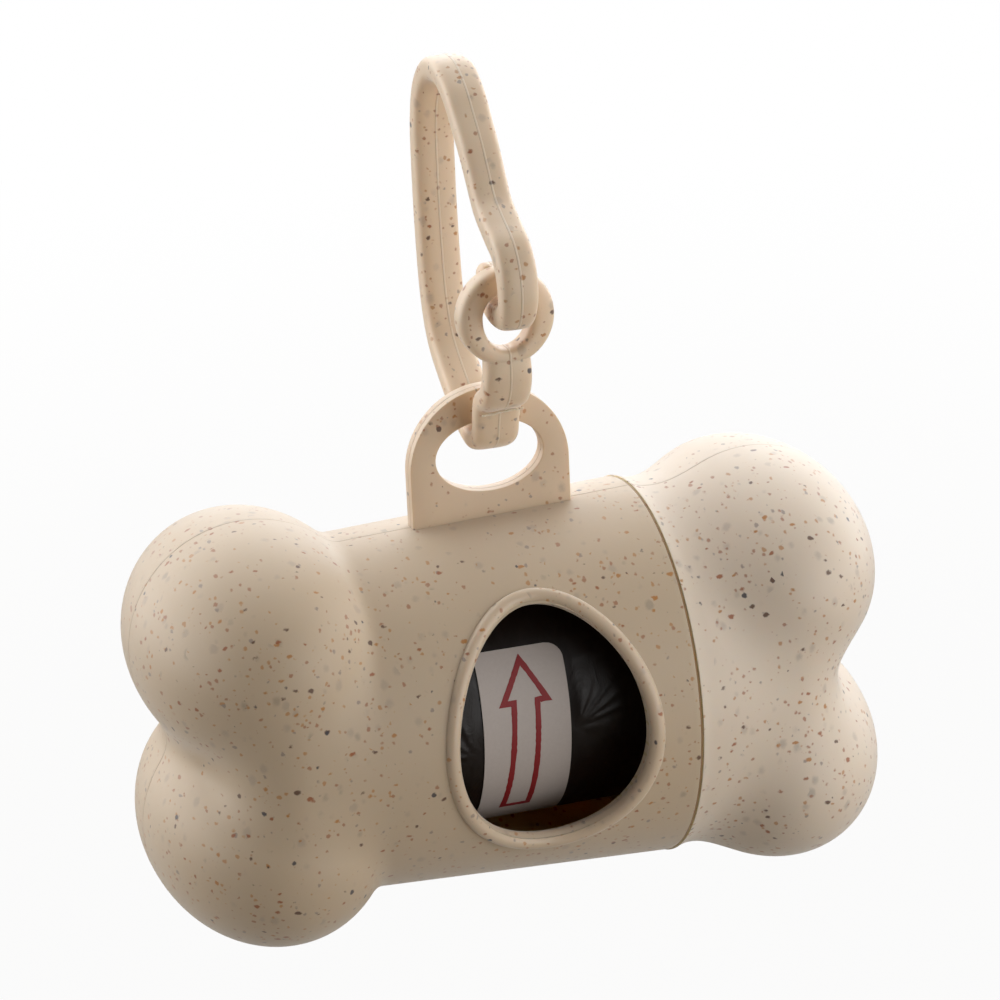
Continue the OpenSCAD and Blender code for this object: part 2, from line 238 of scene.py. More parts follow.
def skinOf(p):
    b = bone
    y, z = p[:, 1] / b["valleyHalf"], p[:, 2] / b["valleyHalf"]
    soft = np.exp(-z ** 2) * (1 - np.exp(-y ** 2))
    closed = lobesOf(p, b["lobeX"], b["lobeRise"], b["lobeR"], b["lobeHalfW"],
                     b["lobeFull"], b["notchBlend"])
    cap = lobesOf(p, b["capLobeX"], b["capLobeRise"], b["capLobeR"], b["capLobeHalfW"],
                  b["capLobeFull"], b["capNotchBlend"])
    closed = blendOf(shaftOf(p), closed, b["lobeBlend"] + b["valleyBlend"] * soft)
    return blendOf(closed, cap, b["capBlend"] + b["capValleyBlend"] * soft)


def markChamber(obj):
    # faces deeper under the skin than any outer face take the second material
    middles = np.empty(3 * len(obj.data.polygons))
    obj.data.polygons.foreach_get("center", middles)
    p = middles.reshape(-1, 3) / mm - boneOrigin
    deep = skinOf(p) < -bone["chamberDepth"]
    obj.data.polygons.foreach_set("material_index", deep.astype(np.int32))
    return obj


def reach(start, way, near=4.0, far=45.0, halvings=30):
    # where rays from inside the bone come out of its skin
    low, high = np.full(len(way), near), np.full(len(way), far)
    for _ in range(halvings):
        mid = (low + high) / 2
        inside = skinOf(start + mid[:, None] * way) < 0
        low, high = np.where(inside, mid, low), np.where(inside, high, mid)
    return start + low[:, None] * way


def ringWays(u, side):
    # unit vectors that lie u off the axis, all the way round
    v = np.linspace(0, 2 * math.pi, bone["around"], endpoint=False)
    x = np.full_like(v, side * math.cos(u))
    return np.stack([x, math.sin(u) * np.sin(v), math.sin(u) * np.cos(v)], 1)


def domeRings(cx, side, rimU, count):
    start = np.array([cx, 0.0, 0.0])
    return [reach(start, ringWays(rimU * i / count, side)) for i in range(1, count + 1)]


def domePole(cx, side):
    return reach(np.array([cx, 0.0, 0.0]), np.array([[side, 0.0, 0.0]]))[0]


def skinRing(x, grow=0.0):
    ways = ringWays(math.pi / 2, 1)
    points = reach(np.array([x, 0.0, 0.0]), ways)
    return points + ways * grow


def roundRing(x, r):
    return ringWays(math.pi / 2, 1) * r + [x, 0, 0]


def capsule(name, firstPole, rings, lastPole):
    # rings of equal count, closed by a point at each end
    n = bone["around"]
    points = np.vstack([[firstPole]] + rings + [[lastPole]])
    j = np.arange(n)
    k = (j + 1) % n
    faces = [(0, 1 + a, 1 + b) for a, b in zip(j, k)]
    for i in range(len(rings) - 1):
        base, nxt = 1 + i * n, 1 + (i + 1) * n
        faces += list(zip(base + j, nxt + j, nxt + k, base + k))
    base, last = 1 + (len(rings) - 1) * n, len(points) - 1
    faces += [(base + a, last, base + b) for a, b in zip(j, k)]
    obj = meshObject(name, toRow(points), faces)
    return outwards(obj)


def cutBy(obj, *cutters):
    for cutter in cutters:
        m = obj.modifiers.new("cut", "BOOLEAN")
        m.operation, m.solver, m.object = "DIFFERENCE", "EXACT", cutter
    plainMesh(obj)
    for cutter in cutters:
        bpy.data.objects.remove(cutter)
    shadeByAngle(obj, 35)
    return obj


def openTree(name, *sockets):
    # a Geometry Nodes tree that takes geometry, the sockets (name, kind, start) and a material
    tree = bpy.data.node_groups.new(name, "GeometryNodeTree")
    face = tree.interface
    for label, kind, start in (("Geometry", "Geometry", None), *sockets,
                               ("Material", "Material", None)):
        socket = face.new_socket(label, in_out="INPUT", socket_type="NodeSocket" + kind)
        if start is not None:
            socket.default_value = start
    face.new_socket("Geometry", in_out="OUTPUT", socket_type="NodeSocketGeometry")
    return tree, addNode(tree, "NodeGroupInput").outputs


def closeTree(tree, body, material):
    body = addNode(tree, "GeometryNodeRealizeInstances", {"Geometry": body})
    body = addNode(tree, "GeometryNodeSetMaterial", {"Geometry": body, "Material": material})
    addNode(tree, "NodeGroupOutput", {"Geometry": body})
    return tree


# Geometry Nodes: an oblong section swept along a path whose points carry side, out, wide and thick
def sweepTree():
    tree, given = openTree("sweepAlongPath", ("Points round the section", "Int", 24),
                           ("Corner power", "Float", 1.0), ("Closed path", "Int", None))
    path, seen = given["Geometry"], given["Points round the section"]
    count = addNode(tree, "GeometryNodeAttributeDomainSize", {
        "Geometry": path}, component="MESH").outputs["Point Count"]
    rings = calc(tree, "ADD", count, given["Closed path"])
    rows = calc(tree, "ADD", seen, 1.0)
    grid = addNode(tree, "GeometryNodeMeshGrid", {
        "Size X": 1.0, "Size Y": 1.0, "Vertices X": rings, "Vertices Y": rows})
    spot = addNode(tree, "GeometryNodeInputPosition")
    spot = addNode(tree, "ShaderNodeSeparateXYZ", {0: spot}).outputs
    last = calc(tree, "SUBTRACT", rings, 1.0)
    half = calc(tree, "MULTIPLY", last, 0.5)
    ring = calc(tree, "MULTIPLY_ADD", spot["X"], last, half)
    ring = calc(tree, "ROUND", ring)
    ring = calc(tree, "FLOORED_MODULO", ring, count)
    turn = calc(tree, "DIVIDE", math.pi, seen)
    turn = calc(tree, "ADD", turn, math.pi)
    turn = calc(tree, "MULTIPLY_ADD", spot["Y"], 2 * math.pi, turn)

    def atRing(value, kind="FLOAT_VECTOR"):
        # what the path has there of a field, or of the attribute with that name
        if isinstance(value, str):
            value = addNode(tree, "GeometryNodeInputNamedAttribute", {"Name": value},
                            data_type=kind)
        return addNode(tree, "GeometryNodeSampleIndex", {
            "Geometry": path, "Value": value, "Index": ring}, data_type=kind)

    place = atRing(addNode(tree, "GeometryNodeInputPosition"))
    # across and outwards: half the size there times the wave raised to the corner power
    for way, size, wave in (("side", "wide", "COSINE"), ("out", "thick", "SINE")):
        wave = calc(tree, wave, turn)
        sign = calc(tree, "SIGN", wave)
        bulge = calc(tree, "ABSOLUTE", wave)
        bulge = calc(tree, "POWER", bulge, given["Corner power"])
        bulge = calc(tree, "MULTIPLY", bulge, sign)
        size = atRing(size, "FLOAT")
        size = calc(tree, "MULTIPLY", size, 0.5)
        share = calc(tree, "MULTIPLY", bulge, size)
        way = atRing(way)
        way = addNode(tree, "ShaderNodeVectorMath", {0: way, "Scale": share}, operation="SCALE")
        place = addNode(tree, "ShaderNodeVectorMath", {0: place, 1: way})
    body = addNode(tree, "GeometryNodeSetPosition", {
        "Geometry": grid.outputs["Mesh"], "Position": place})
    body = addNode(tree, "GeometryNodeMergeByDistance", {
        "Geometry": body, "Distance": 0.002 * mm})
    return closeTree(tree, body, given["Material"])


# Geometry Nodes: copies of one shape turned round the bone's axis
def copiesTree():
    tree, given = openTree("copiesRoundAxis", ("Count", "Int", 3))
    line = addNode(tree, "GeometryNodeMeshLine", {"Count": given["Count"], "Offset": (0, 0, 0)})
    share = calc(tree, "DIVIDE", 2 * math.pi, given["Count"])
    number = addNode(tree, "GeometryNodeInputIndex")
    angle = calc(tree, "MULTIPLY", number, share)
    turn = addNode(tree, "ShaderNodeCombineXYZ", {"X": angle})
    body = addNode(tree, "GeometryNodeInstanceOnPoints", {
        "Points": line, "Instance": given["Geometry"], "Rotation": turn})
    return closeTree(tree, body, given["Material"])


def runTree(obj, tree, values):
    m = obj.modifiers.new(tree.name, "NODES")
    m.node_group = tree
    for item in tree.interface.items_tree:
        if item.in_out == "INPUT" and item.name in values:
            m[item.identifier] = values[item.name]
    return plainMesh(obj)


sweep = sweepTree()
copies = copiesTree()


def sweepPiece(name, points, side, out, wide, thick, material,
               around=24, corner=1.0, closed=False, smoothAngle=50):
    # points in mm on the bone's axes; side and out are unit vectors, wide and thick in mm
    path = bpy.data.meshes.new(name)
    rows = toRow(points)
    path.from_pydata([tuple(p) for p in rows], [(i, i + 1) for i in range(len(rows) - 1)], [])
    for key, data in (("side", side), ("out", out)):
        layer = path.attributes.new(key, "FLOAT_VECTOR", "POINT")
        layer.data.foreach_set("vector", np.asarray(data, np.float32).ravel())
    for key, data in (("wide", wide), ("thick", thick)):
        layer = path.attributes.new(key, "FLOAT", "POINT")
        layer.data.foreach_set("value", (np.asarray(data) * mm).astype(np.float32))
    obj = bpy.data.objects.new(name, path)
    bpy.context.scene.collection.objects.link(obj)
    runTree(obj, sweep, {"Points round the section": around, "Corner power": corner,
                         "Closed path": int(closed), "Material": material})
    outwards(obj)
    shadeByAngle(obj, smoothAngle)
    return obj


def catmullRom(rows, steps):
    rows = np.asarray(rows, float)
    padded = np.vstack([rows[:1], rows, rows[-1:]])
    out = []
    for i in range(len(rows) - 1):
        a, b, c, d = padded[i:i + 4]
        for f in np.arange(steps) / steps:
            out.append((2 * b + (c - a) * f + (2 * a - 5 * b + 4 * c - d) * f * f
                        + (3 * b - a - 3 * c + d) * f ** 3) / 2)
    return np.array(out + [rows[-1]])


# materials
strawColours = {
    "shell": "#ceb89c", "cap": "#e1d0bc", "rim": "#d5bfa4", "tab": "#dec5a7", "strap": "#e8cfb1",
    "chamber": "#cdb98f", "seam": "#b08a64", "flash": "#e2d3bb",
    "rust": "#a0592c", "straw": "#b87a36", "bark": "#58321f", "slate": "#38343f", "haze": "#8b7a74",
}
# cell in mm, stretch, turn, share of cells with a fleck, largest radius and soft edge in cells,
# strength, tints
strawFlecks = (
    (1.45, (1, 1, 0.8), (0.4, 1.1, 0.3), 0.7, 0.32, 0.3, 0.26, ("haze", "haze", "slate")),
    (0.64, (1.0, 0.6, 1.0), (0.2, 0.5, 0.9), 0.8, 0.34, 0.22, 0.68, ("straw", "rust", "haze")),
    (0.95, (0.65, 1.0, 0.9), (1.3, 0.1, 2.2), 0.9, 0.24, 0.14, 0.88, ("rust", "straw", "bark")),
    (1.65, (0.9, 0.75, 0.8), (0.7, 2.0, 0.4), 0.75, 0.15, 0.07, 0.9, ("slate", "bark", "slate")),
)
strawSizes = {                # mm
    "ragged": 0.5, "bend": 0.42,          # grain and reach of the flecks' ragged edges
    "cloud": 9.0, "crowd": 6.0,           # patches of tone, and of more or fewer flecks
    "skin": 0.7, "skinHeight": 0.02,      # the mould's fine texture
    "lineFull": 0.05, "lineGone": 0.13, "lineHeight": 0.06,
}
boneLine = ("Y", boneOrigin[1] * mm)      # axis and place of a moulding's parting line
strapLine = ("X", 0.0)
noLine = ("Y", 1.0)                       # a metre off, so no piece has it


def newMaterial(name):
    m = bpy.data.materials.new(name)
    m.use_nodes = True
    m.node_tree.nodes.clear()
    return m, m.node_tree


def strawPlastic(name, base, line=noLine, lineTint="#8f7452", lineShare=0.0, roughness=0.5,
                 seed=0.0, through=0.25, deep=1.2, tintReach=(1.0, 0.62, 0.38), gloss=0.5):
    # injection moulded PP filled with ground wheat straw: warm beige, semi-gloss, a little
    # see-through, with rust, straw and slate flecks of 0.2 to 0.9 mm, some deep and blurred,
    # and a fine mould line
    m, tree = newMaterial("moulded wheat-straw PP, " + name)
    d = strawSizes
    where = addNode(tree, "ShaderNodeTexCoord").outputs["Object"]
    ragged = fractalNoise(tree, where, d["ragged"], 2.0, Roughness=0.6)
    shift = addNode(tree, "ShaderNodeVectorMath", {
        0: ragged.outputs["Color"], 1: (0.5, 0.5, 0.5)}, operation="SUBTRACT")
    bent = addNode(tree, "ShaderNodeVectorMath", {
        0: shift, 1: [d["bend"] * mm] * 3, 2: where}, operation="MULTIPLY_ADD")
    cloud = fractalNoise(tree, where, d["cloud"], 3.0).outputs["Fac"]
    tone = remap(tree, cloud, 0.3, 0.7, toHigh=0.35)
    colour = mixTints(tree, tone, srgb(base), [c * 0.9 for c in srgb(base)[:3]] + [1.0])
    crowd = fractalNoise(tree, where, d["crowd"], 2.0).outputs["Fac"]
    crowd = remap(tree, crowd, 0.38, 0.62, 0.35, 1.35)
    for cell, stretch, turn, share, big, soft, strength, tints in strawFlecks:
        spun = addNode(tree, "ShaderNodeMapping", {
            "Vector": bent, "Location": (seed * mm, seed * mm, 0), "Rotation": turn,
            "Scale": stretch})
        cells = addNode(tree, "ShaderNodeTexVoronoi", {
            "Vector": spun, "Scale": 1 / (cell * mm)})
        luck = addNode(tree, "ShaderNodeSeparateColor", {0: cells.outputs["Color"]})
        radius = calc(tree, "POWER", luck, 1.2)
        edge = calc(tree, "MULTIPLY_ADD", radius, big, soft / 2)
        inside = calc(tree, "SUBTRACT", edge, cells.outputs["Distance"])
        spot = remap(tree, inside, 0.0, soft, toHigh=strength, smooth=True)
        share = calc(tree, "MULTIPLY", crowd, share)
        some = calc(tree, "LESS_THAN", luck.outputs[1], share)
        spot = calc(tree, "MULTIPLY", spot, some)
        ramp = addNode(tree, "ShaderNodeValToRGB", {"Fac": luck.outputs[2]})
        ramp.color_ramp.interpolation = "CONSTANT"
        ramp.color_ramp.elements[0].color = srgb(strawColours[tints[0]])
        ramp.color_ramp.elements[1].color = srgb(strawColours[tints[1]])
        ramp.color_ramp.elements[1].position = 0.4
        ramp.color_ramp.elements.new(0.8).color = srgb(strawColours[tints[2]])
        colour = mixTints(tree, spot, colour, ramp.outputs["Color"])
    # the mould's parting line, about 0.2 mm wide, fading in and out along its way
    lineAxis, lineAt = line
    axes = addNode(tree, "ShaderNodeSeparateXYZ", {0: where})
    off = calc(tree, "SUBTRACT", axes.outputs[lineAxis], lineAt)
    off = calc(tree, "ABSOLUTE", off)
    line = remap(tree, off, d["lineFull"] * mm, d["lineGone"] * mm, 1.0, 0.0, smooth=True)
    fade = remap(tree, cloud, 0.35, 0.6, 0.45 * lineShare, lineShare)
    share = calc(tree, "MULTIPLY", line, fade)
    colour = mixTints(tree, share, colour, srgb(lineTint))
    fine = fractalNoise(tree, where, d["skin"], 3.0).outputs["Fac"]
    rough = remap(tree, fine, 0.3, 0.7, roughness - 0.04, roughness + 0.05)
    skin = addNode(tree, "ShaderNodeBump", {
        "Height": fine, "Strength": 0.35, "Distance": d["skinHeight"] * mm})
    ridge = addNode(tree, "ShaderNodeBump", {
        "Height": line, "Strength": 1.0, "Distance": d["lineHeight"] * mm,
        "Normal": skin})
    shader = addNode(tree, "ShaderNodeBsdfPrincipled", {
        "Base Color": colour, "Roughness": rough, "IOR": 1.49,
        "Normal": ridge, "Subsurface Weight": through,
        "Subsurface Radius": tintReach, "Subsurface Scale": deep * mm,
        "Specular IOR Level": gloss, "Sheen Weight": 1.1 * gloss, "Sheen Roughness": 0.45})
    addNode(tree, "ShaderNodeOutputMaterial", {"Surface": shader})
    return m


shellPlastic = strawPlastic("shell", strawColours["shell"], boneLine, lineShare=0.42)
# the chamber's side is all see-through, so that light comes in through the wall; its yellower
# colour is painted amber light, a lit copy of the shell's plastic
chamberPlastic = strawPlastic(
    "chamber side", strawColours["chamber"], boneLine, "#5a3d20", 0.2,
    through=1.0, deep=2.4, tintReach=(1.0, 0.93, 0.78), gloss=0.1)
# the cap's colour is lighter and paler than the shell's: painted light, for the brighter light that
# falls towards the cap's end
capPaintedLightPlastic = strawPlastic("cap", strawColours["cap"], boneLine, lineShare=0.45, seed=9.0)
# the seam's warm colour is painted light coming through the plastic
seamPlastic = strawPlastic("lit through at the seam", strawColours["seam"], seed=4.0)
rimPlastic = strawPlastic("window rim", strawColours["rim"], roughness=0.36, seed=3.0)
tabPlastic = strawPlastic("tab", strawColours["tab"], boneLine, "#a98a63", 0.5, 0.4, 5.0)
strapPlastic = strawPlastic("strap", strawColours["strap"], strapLine, "#f2e9da", 0.3, 0.4, 7.0)
flashPlastic = strawPlastic("thin flash", strawColours["flash"], roughness=0.4, seed=2.0)
print("straw plastics made")


filmLook = {"low": "#120c09", "high": "#1b1310", "wrinkle": 2.4, "wrinkleHeight": 0.35}


def filmMaterial():
    # LDPE bag film: near black, slightly glossy, with fine wrinkles that catch a thin grey glint
    m, tree = newMaterial("black LDPE bag film")
    where = addNode(tree, "ShaderNodeTexCoord").outputs["Object"]
    long = addNode(tree, "ShaderNodeMapping", {
        "Vector": where, "Rotation": (0.3, 0.2, 0.5), "Scale": (1.0, 0.45, 0.6)})
    crumple = fractalNoise(tree, long, filmLook["wrinkle"], 5.0, Roughness=0.62, Distortion=1.4)
    crumple = crumple.outputs["Fac"]
    ridged = calc(tree, "SUBTRACT", crumple, 0.5)
    ridged = calc(tree, "ABSOLUTE", ridged)
    bump = addNode(tree, "ShaderNodeBump", {
        "Height": ridged, "Strength": 0.35,
        "Distance": filmLook["wrinkleHeight"] * mm})
    rough = remap(tree, crumple, 0.3, 0.7, 0.3, 0.5)
    tone = mixTints(tree, crumple, srgb(filmLook["low"]), srgb(filmLook["high"]))
    shader = addNode(tree, "ShaderNodeBsdfPrincipled", {
        "Base Color": tone, "Roughness": rough, "IOR": 1.51,
        "Specular IOR Level": 0.28, "Normal": bump})
    addNode(tree, "ShaderNodeOutputMaterial", {"Surface": shader})
    return m


def fibreMaterial(name, low, high, grain, roughness):
    # paper or card: matt, with pulp fibres of about grain mm that only just show
    m, tree = newMaterial(name)
    where = addNode(tree, "ShaderNodeTexCoord").outputs["Object"]
    pulp = fractalNoise(tree, where, grain, 4.0, Roughness=0.7).outputs["Fac"]
    tone = mixTints(tree, pulp, srgb(low), srgb(high))
    bump = addNode(tree, "ShaderNodeBump", {
        "Height": pulp, "Strength": 0.4, "Distance": 0.02 * mm})
    shader = addNode(tree, "ShaderNodeBsdfPrincipled", {
        "Base Color": tone, "Roughness": roughness, "IOR": 1.5, "Normal": bump})
    addNode(tree, "ShaderNodeOutputMaterial", {"Surface": shader})
    return m


film = filmMaterial()
# the paper's colour is grey-beige, not white: painted shade, for the shade inside the window
paper = fibreMaterial("white paper darkened with painted shade", "#b8ada6", "#c5bbb5", 0.3, 0.62)
card = fibreMaterial("grey-brown core card", "#94795a", "#b79d78", 0.5, 0.85)
ink = fibreMaterial("dull red printing ink", "#7c1217", "#93191e", 0.22, 0.6)
print("film, paper, card and ink made")


def revolve(name, profile, material, smoothAngle=35, around=96):
    # a closed solid turned round the bone's axis: profile is x and radius, either from axis
    # to axis or a loop that stays clear of it
    v = np.linspace(0, 2 * math.pi, around, endpoint=False)
    loop = profile[0][1] > 0
    rings = list(profile if loop else profile[1:-1])
    points = [(x, r * math.sin(a), r * math.cos(a)) for x, r in rings for a in v]
    count, last = len(rings), len(rings) * around
    if not loop:
        points += [(profile[0][0], 0, 0), (profile[-1][0], 0, 0)]
    faces = []
    for j in range(around):
        k = (j + 1) % around
        for i in range(count if loop else count - 1):
            a, b = i * around, (i + 1) % count * around
            faces.append((a + j, b + j, b + k, a + k))
        if not loop:
            faces += [(last, j, k), (last - around + j, last + 1, last - around + k)]
    return setMaterials(outwards(meshObject(name, toRow(points), faces, smoothAngle)), material)


# housing: closed end, tapered shaft, seam edge, neck and chamber as one closed skin, then the
# window cut through
windowSizes = {
    "fromSeam": 14.85, "halfW": 9.75, "up": 12.3, "down": 11.8, "rise": 1.2, "egg": 0.05,
    "beadW": 1.4, "beadH": 0.55, "beadLap": 0.12, "beadSink": 0.35, "points": 240,
    "cutFrom": -3, "cutTo": -32,
}
housingSizes = {"rayStart": 3, "domeRings": 132, "shaftRings": 64, "chamberRings": 14}


def eggOutline(grow, count):
    w = windowSizes
    a = np.linspace(0, 2 * math.pi, count, endpoint=False)
    x = (w["halfW"] + grow) * np.cos(a) * (1 - w["egg"] * np.sin(a)) - w["fromSeam"]
    z = (np.where(np.sin(a) > 0, w["up"], w["down"]) + grow) * np.sin(a) + w["rise"]
    return x, z


def windowCutter():
    w = windowSizes
    x, z = eggOutline(0, w["points"])
    n = len(x)
    points = [(a, y, b) for y in (w["cutFrom"], w["cutTo"]) for a, b in zip(x, z)]
    faces = [tuple(range(n)), tuple(range(2 * n - 1, n - 1, -1))]
    faces += [(i, (i + 1) % n, n + (i + 1) % n, n + i) for i in range(n)]
    return outwards(meshObject("windowCutter", toRow(points), faces, 35))


def chamberEnd(x, r, rounding, side):
    # quarter turn from the chamber's wall to its flat end
    turns = np.radians(np.arange(90, -1, -15))
    return [roundRing(x + side * rounding * math.cos(t), r + rounding * math.sin(t)) for t in turns]


def makeHousing():
    b, h = bone, housingSizes
    cx = b["lobeX"] + h["rayStart"]
    rimU = math.atan2(shaftRadius(np.array(shaftFrom)), -(shaftFrom - cx))
    rings = domeRings(cx, -1, rimU, h["domeRings"])
    e = b["edgeRound"]
    rings += [skinRing(x) for x in np.linspace(shaftFrom, -e, h["shaftRings"])[1:]]
    for t in quarterTurn:
        rings.append(skinRing(-e + e * math.sin(t), -e * (1 - math.cos(t))))
    bore = b["neckR"] - b["neckWall"]
    chamberX = -b["wall"]
    chamberR = float(shaftRadius(np.array(chamberX))) - b["wall"]
    inner = [(0, b["neckR"]), (b["neckLen"] - b["neckEdge"], b["neckR"]),
             (b["neckLen"], b["neckR"] - b["neckEdge"]), (b["neckLen"], bore),
             (chamberX, bore), (chamberX, chamberR)]
    rings += [roundRing(x, r) for x, r in inner]
    r, rounding = b["shaftEndR"] - b["endRound"], b["endRound"] - b["wall"]
    roundX = endX + b["endRound"]
    for x in np.linspace(chamberX, roundX, h["chamberRings"])[1:-1]:
        share = (x - chamberX) / (roundX - chamberX)
        rings.append(roundRing(x, chamberR * (1 - share) + (r + rounding) * share))
    rings += chamberEnd(roundX, r, rounding, -1)
    obj = capsule("housingShell", domePole(cx, -1), rings, (endX + b["wall"], 0, 0))
    return cutBy(obj, windowCutter())


housing = markChamber(setMaterials(makeHousing(), shellPlastic, chamberPlastic))
seat(housing, "body", "shell", "housing")
print("housing shell:", len(housing.data.polygons), "faces")


def makeWindowRim():
    w = windowSizes
    x, z = eggOutline(w["beadW"] / 2, w["points"])
    r = shaftRadius(x)
    ring = np.stack([x, -np.sqrt(r ** 2 - z ** 2), z], 1)
    out = np.stack([np.zeros_like(x), ring[:, 1] / r, z / r], 1)
    along = np.roll(ring, -1, 0) - np.roll(ring, 1, 0)
    along /= np.linalg.norm(along, axis=1)[:, None]
    side = np.cross(out, along)
    wide = np.full(len(x), w["beadW"] + w["beadLap"])
    thick = np.full(len(x), 2 * (w["beadH"] + w["beadSink"]))
    return sweepPiece("windowRim", ring - out * w["beadSink"], side, out, wide, thick, rimPlastic,
                      around=28, corner=0.9, closed=True, smoothAngle=180)


seat(makeWindowRim(), "body", "shell")
print("window rim made")

# hang tab: an arch on a straight foot with an oval hole, its edges rounded
tabSizes = {
    "fromSeam": 14.85, "width": 16.7, "thick": 2.0, "top": 32.35, "foot": 17.3,
    "holeW": 11.3, "holeH": 7.5, "bar": 3.4, "edge": 0.35,
}


def makeTab():
    t = tabSizes
    half, arcZ = t["width"] / 2, t["top"] - t["width"] / 2
    holeZ = t["top"] - t["bar"] - t["holeH"] / 2
    corners = [math.atan2(t["foot"] - holeZ, half), math.atan2(t["foot"] - holeZ, -half)]
    angles = sorted(list(np.radians(np.arange(-179, 181, 2.0))) + corners)
    outer, hole = [], []
    for a in angles:
        c, s = math.cos(a), math.sin(a)
        # ray from the hole's middle to the arch, to a leg or to the foot
        dz = holeZ - arcZ
        reachOut = -dz * s + math.sqrt(max(0.0, half ** 2 - (dz * c) ** 2))
        if holeZ + reachOut * s < arcZ:
            reachOut = half / abs(c) if abs(c) > 1e-6 else 1e9
            if s < 0:
                reachOut = min(reachOut, (t["foot"] - holeZ) / s)
        outer.append((reachOut * c - t["fromSeam"], holeZ + reachOut * s))
        hole.append((t["holeW"] / 2 * c - t["fromSeam"], holeZ + t["holeH"] / 2 * s))
    n = len(angles)
    points = []
    for y in (-t["thick"] / 2, t["thick"] / 2):
        points += [(x, y, z) for x, z in outer] + [(x, y, z) for x, z in hole]
    faces = []
    for i in range(n):
        k = (i + 1) % n
        faces += [(i, k, n + k, n + i), (2 * n + i, 3 * n + i, 3 * n + k, 2 * n + k),
                  (i, 2 * n + i, 2 * n + k, k), (n + i, n + k, 3 * n + k, 3 * n + i)]
    obj = outwards(meshObject("hangTab", toRow(points), faces))
    bevel = obj.modifiers.new("edges", "BEVEL")
    bevel.width, bevel.segments = t["edge"] * mm, 4
    bevel.limit_method, bevel.angle_limit = "ANGLE", math.radians(50)
    plainMesh(obj)
    shadeByAngle(obj, 40)
    return setMaterials(obj, tabPlastic)


seat(makeTab(), "body", "shell")
print("tab made")

# bayonet lugs on the neck, and their tracks in the cap
bayonet = {
    "count": 3, "lugH": 0.8, "lugLen": 1.6, "lugAngle": 22, "fromEnd": 0.6,
    "turn": 60, "clear": 0.25, "slack": 1.5, "cutDepth": 1, "arcPoints": 25,
}


def arcBlock(name, rIn, rOut, x1, x2, start, angle):
    # a block bent round the bone's axis; it is set on the bone once it is copied round
    a = np.radians(np.linspace(start, start + angle, bayonet["arcPoints"]))
    n = len(a)
    points = []
    for x, r in ((x1, rIn), (x1, rOut), (x2, rOut), (x2, rIn)):
        points += [(x, -r * math.sin(t), r * math.cos(t)) for t in a - math.pi / 2]
    faces = []
    for q in range(4):
        w = (q + 1) % 4
        faces += [(q * n + i, q * n + i + 1, w * n + i + 1, w * n + i) for i in range(n - 1)]
    faces += [(0, n, 2 * n, 3 * n), (n - 1, 4 * n - 1, 3 * n - 1, 2 * n - 1)]
    obj = meshObject(name, np.array(points) * mm, faces)
    return outwards(obj)


def spreadRound(obj, material):
    runTree(obj, copies, {"Count": bayonet["count"], "Material": material})
    obj.data.transform(Matrix.Translation(boneOrigin * mm))
    return obj


lugEnd = bone["neckLen"] - bayonet["fromEnd"]
lugStart = lugEnd - bayonet["lugLen"]
lugs = arcBlock("bayonetLugs", bone["neckR"] - bone["neckWall"] / 2,
                bone["neckR"] + bayonet["lugH"], lugStart, lugEnd, 0, bayonet["lugAngle"])
spreadRound(lugs, shellPlastic)
seat(lugs, "body", "shell")

# the cap: its own lobes, a rim a hair proud of the shaft, a bore for the neck and a shallow chamber
capSizes = {
    "rayStart": 3, "domeTo": 5.0, "domeRings": 120, "rimRings": 26,
    "flare": 1.4, "flareOver": 0.02, "socketOver": 0.5, "slotFrom": -0.5,
}


def makeCap():
    b, c = bone, capSizes
    cx = b["capLobeX"] - c["rayStart"]
    rimR = b["seamR"] + b["rimProud"]
    proud = b["rimProud"] + c["flareOver"]
    e = b["edgeRound"]
    rimU = math.atan2(float(shaftRadius(np.array(c["domeTo"]))), c["domeTo"] - cx)
    rings = domeRings(cx, 1, rimU, c["domeRings"])
    lastX = rings[-1][:, 0].mean()
    for x in np.linspace(lastX, b["seamGap"] + e, c["rimRings"])[1:]:
        flare = max(0.0, 1 - (x - b["seamGap"]) / c["flare"])
        rings.append(skinRing(x, proud * flare ** 2))
    edge = skinRing(b["seamGap"] + e, proud)
    for t in quarterTurn:
        ring = edge.copy()
        ring[:, 0] = b["seamGap"] + e - e * math.sin(t)
        ring[:, 1:] *= 1 - e * (1 - math.cos(t)) / rimR
        rings.append(ring)
    socketR, socketEnd = b["neckR"] + b["neckClear"], b["neckLen"] + c["socketOver"]
    r, rounding = b["capWaistR"] - b["endRound"], b["endRound"] - b["wall"]
    roundX = capEndX - b["endRound"]
    inner = [(b["seamGap"], socketR), (socketEnd, socketR), (socketEnd, r + rounding)]
    rings += [roundRing(x, q) for x, q in inner]
    rings += chamberEnd(roundX, r, rounding, 1)
    obj = capsule("capShell", domePole(cx, 1), rings, (capEndX - b["wall"], 0, 0))
    # each lug comes in through a slot at the rim and turns along a track behind it
    y = bayonet
    cutR, trackR = b["neckR"] - y["cutDepth"], b["neckR"] + y["lugH"] + y["clear"]
    start = -y["slack"] - y["turn"]
    slotAngle = y["lugAngle"] + 2 * y["slack"]
    track = arcBlock("track", cutR, trackR, lugStart - y["clear"], lugEnd + y["clear"],
                     start, slotAngle + y["turn"])
    slot = arcBlock("slot", cutR, trackR, c["slotFrom"], lugEnd, start, slotAngle)
    return cutBy(obj, spreadRound(track, shellPlastic), spreadRound(slot, shellPlastic))


cap = markChamber(setMaterials(makeCap(), capPaintedLightPlastic, chamberPlastic))
seat(cap, "cap", "shell", "end_cap")
print("cap shell:", len(cap.data.polygons), "faces")

# pegs that the card tube turns on
pegSizes = {"radius": 3.92, "grip": 9.0, "tip": 0.6}
rollSizes = {"from": -43.2, "length": 57.2}  # on the bone's axis, between the chamber's ends


